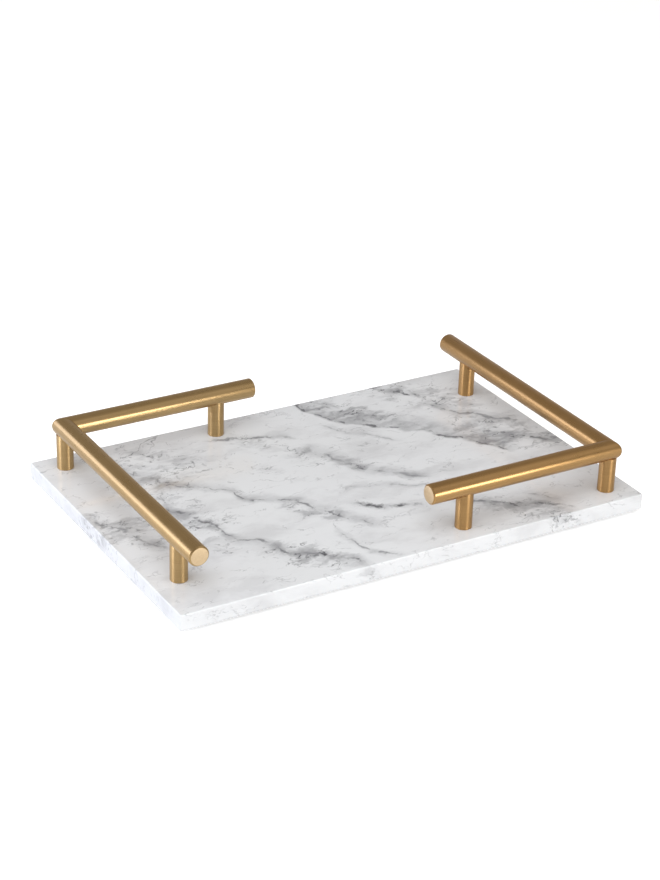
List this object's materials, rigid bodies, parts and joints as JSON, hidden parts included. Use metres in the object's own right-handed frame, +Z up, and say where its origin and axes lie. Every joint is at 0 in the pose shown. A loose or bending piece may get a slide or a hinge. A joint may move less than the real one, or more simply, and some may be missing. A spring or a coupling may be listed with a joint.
{
  "type": "dresser vanity tray",
  "caption": "Rectangular marble tray with an L-shaped round-bar brass rail on short posts at each of two opposite corners, for perfume bottles and jewellery.",
  "frame": {"origin": "centre of the footprint, on the surface that the feet stand on", "axes": "+X along the slab's long edges to the right, +Y across the slab to the back, +Z up; the left rail is at the -X +Y corner and the right rail at the +X -Y corner"},
  "size_m": [0.303, 0.2, 0.0445],
  "materials": {
    "white_marble": "polished white marble with grey veins",
    "brushed_brass": "satin, brushed along its length and lacquered",
    "zinc_plated_steel": "bright zinc plate",
    "natural_nylon": "matt, off-white",
    "clear_grey_silicone": "translucent grey silicone, satin"
  },
  "bodies": {
    "root": {"marble_slab": "white_marble", "left_rail_back_bar": "brushed_brass", "left_rail_side_bar": "brushed_brass", "right_rail_front_bar": "brushed_brass", "right_rail_side_bar": "brushed_brass", "left_corner_post": "brushed_brass", "left_back_post": "brushed_brass", "left_side_post": "brushed_brass", "right_corner_post": "brushed_brass", "right_front_post": "brushed_brass", "right_side_post": "brushed_brass", "left_rail_studs": "zinc_plated_steel", "right_rail_studs": "zinc_plated_steel", "left_rail_screws": "zinc_plated_steel", "right_rail_screws": "zinc_plated_steel", "left_rail_steel_washers": "zinc_plated_steel", "right_rail_steel_washers": "zinc_plated_steel", "left_rail_nylon_washers": "natural_nylon", "right_rail_nylon_washers": "natural_nylon", "front_left_foot": "clear_grey_silicone", "front_right_foot": "clear_grey_silicone", "back_left_foot": "clear_grey_silicone", "back_right_foot": "clear_grey_silicone"}
  },
  "joints": []
}
